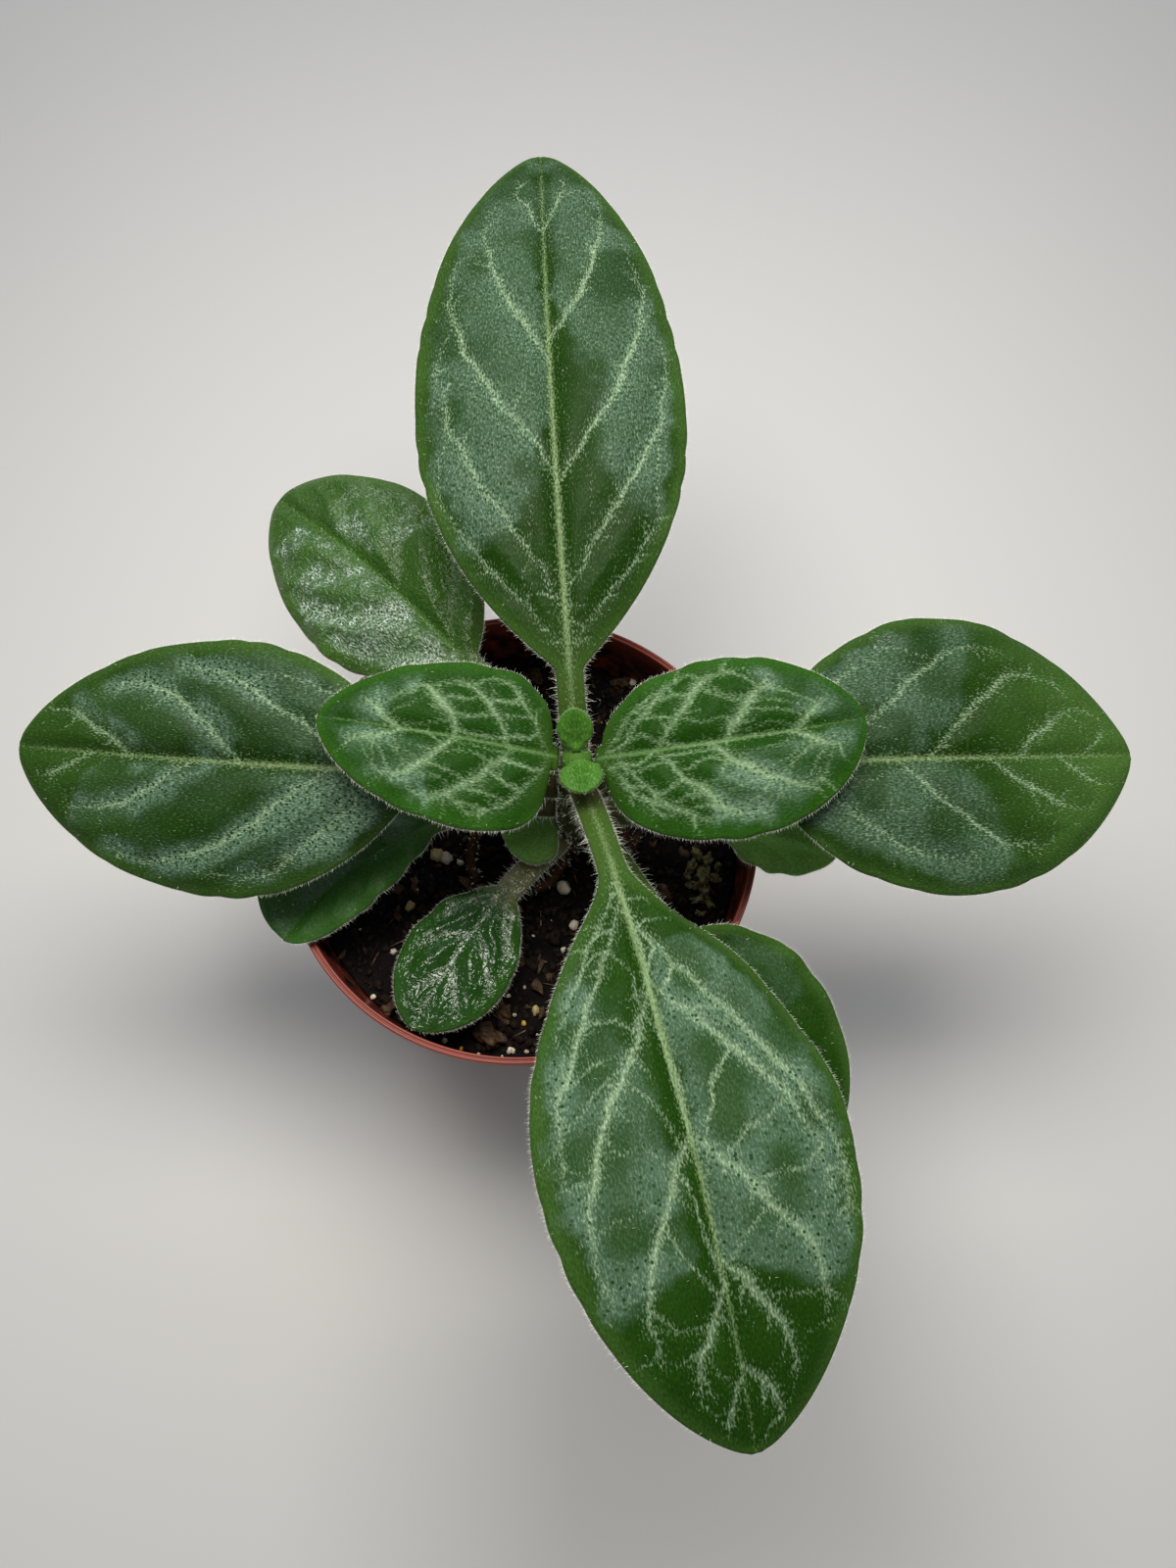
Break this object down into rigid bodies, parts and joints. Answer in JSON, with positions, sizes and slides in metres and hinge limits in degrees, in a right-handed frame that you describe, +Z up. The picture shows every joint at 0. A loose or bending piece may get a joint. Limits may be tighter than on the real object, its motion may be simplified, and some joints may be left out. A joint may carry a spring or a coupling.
{
  "type": "potted primulina",
  "caption": "Potted primulina: a rosette of broad, softly quilted, hairy leaves in crossed pairs on a short stem, standing in peat in a small tapered terracotta-coloured plastic pot.",
  "frame": {"origin": "middle of the pot's underside, on the surface that the pot stands on", "axes": "+Z up along the pot's axis; the large back leaf points to +Y and the front leaf towards -Y; +X to the right"},
  "size_m": [0.2172, 0.244, 0.141],
  "materials": {
    "pot": "satin moulded polypropylene",
    "soil": "damp peat with perlite and bark",
    "stem": "hairy, matt",
    "leaf": "satin, hairy leaf with pale veins and silvery patches",
    "young_leaf": "satin, hairy young leaf"
  },
  "bodies": {
    "root": {"pot": "pot", "soil": "soil", "stem": "stem", "leaf_bud_back": "young_leaf", "leaf_bud_front": "young_leaf", "leaf_upper_left": "leaf", "leaf_upper_right": "leaf", "leaf_back": "leaf", "leaf_front": "leaf", "leaf_left": "leaf", "leaf_right": "leaf", "leaf_back_left": "leaf", "leaf_front_right": "leaf", "leaf_low_left": "leaf", "leaf_low_right": "leaf", "leaf_low_front": "leaf", "leaf_small_front": "leaf"}
  },
  "joints": []
}
